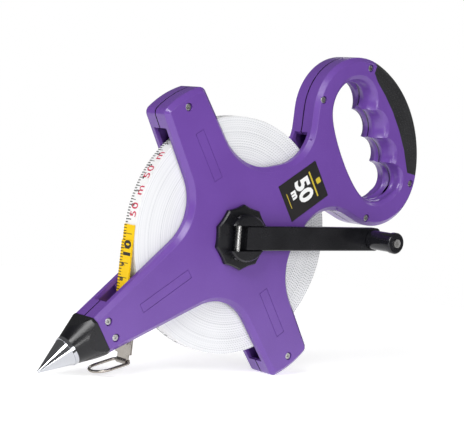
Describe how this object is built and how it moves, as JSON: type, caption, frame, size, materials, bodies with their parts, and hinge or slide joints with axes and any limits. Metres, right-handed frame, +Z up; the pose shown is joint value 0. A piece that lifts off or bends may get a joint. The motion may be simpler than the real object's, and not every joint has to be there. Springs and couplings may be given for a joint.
{
  "type": "long tape measure",
  "caption": "Open-reel long tape measure: purple cross-shaped two-shell frame with a finger-hole handle, ground spike, folding winding crank, wound tape, and an end hook with a ring.",
  "frame": {"origin": "bottom centre of the whole part's bounding box with one arm's corner at the ground and its spike tip and pull ring within 2 mm of it", "axes": "+X along the ground from the spike tip towards the crank grip, +Y through the thickness from the crank side to the rear face, +Z up"},
  "size_m": [0.3178, 0.0644, 0.2398],
  "materials": {
    "purple_shell": "satin",
    "grip_rubber": "matte",
    "black_plastic": "satin",
    "polished_steel": "polished",
    "zinc_steel": "satin",
    "label_film": "satin",
    "bush_plastic": "matte",
    "tape_yellow": "satin",
    "tape_white": "matte"
  },
  "bodies": {
    "frame": {"front_shell": "purple_shell", "rear_shell": "purple_shell", "grip_pad_front": "grip_rubber", "grip_pad_rear": "grip_rubber", "spike_socket": "black_plastic", "spike_tip": "polished_steel", "spike_pin": "zinc_steel", "shell_screws": "zinc_steel", "label_plate": "label_film", "front_bush": "bush_plastic", "rear_bush": "bush_plastic", "tape_guides": "zinc_steel", "tape_run": "tape_yellow"},
    "reel": {"tape_coil": "tape_white", "reel_hub": "black_plastic", "tape_clip": "bush_plastic", "drive_shaft": "black_plastic", "axle_washer": "zinc_steel", "axle_screw": "zinc_steel", "crank_knob": "black_plastic", "hinge_pin": "zinc_steel"},
    "crank": {"crank_arm": "black_plastic", "grip_axle": "zinc_steel"},
    "grip": {"crank_grip": "black_plastic", "grip_cap": "black_plastic"},
    "tape_end": {"tape_leader": "tape_yellow", "end_hook": "zinc_steel", "hook_rivets": "zinc_steel"},
    "ring": {"pull_ring": "zinc_steel"}
  },
  "joints": [
    {"name": "reel_spin", "type": "hinge", "parent": "frame", "child": "reel", "pos_m": [-0.0129, 0.01825, 0.10002], "axis": [0, 1, 0], "continuous": true},
    {"name": "crank_fold", "type": "hinge", "parent": "reel", "child": "crank", "pos_m": [-0.01989, -0.00275, 0.09973], "axis": [0.0419, 0, -0.9991], "range_deg": [0, 180]},
    {"name": "grip_spin", "type": "hinge", "parent": "crank", "child": "grip", "pos_m": [0.10739, -0.01775, 0.10506], "axis": [0, 1, 0], "continuous": true},
    {"name": "tape_pull", "type": "slide", "parent": "frame", "child": "tape_end", "axis": [0, 0, -1], "range_m": [0, 0.05]},
    {"name": "ring_swing", "type": "hinge", "parent": "tape_end", "child": "ring", "pos_m": [-0.09239, 0.01825, 0.00972], "axis": [0, 1, 0], "range_deg": [-200, 15]}
  ]
}
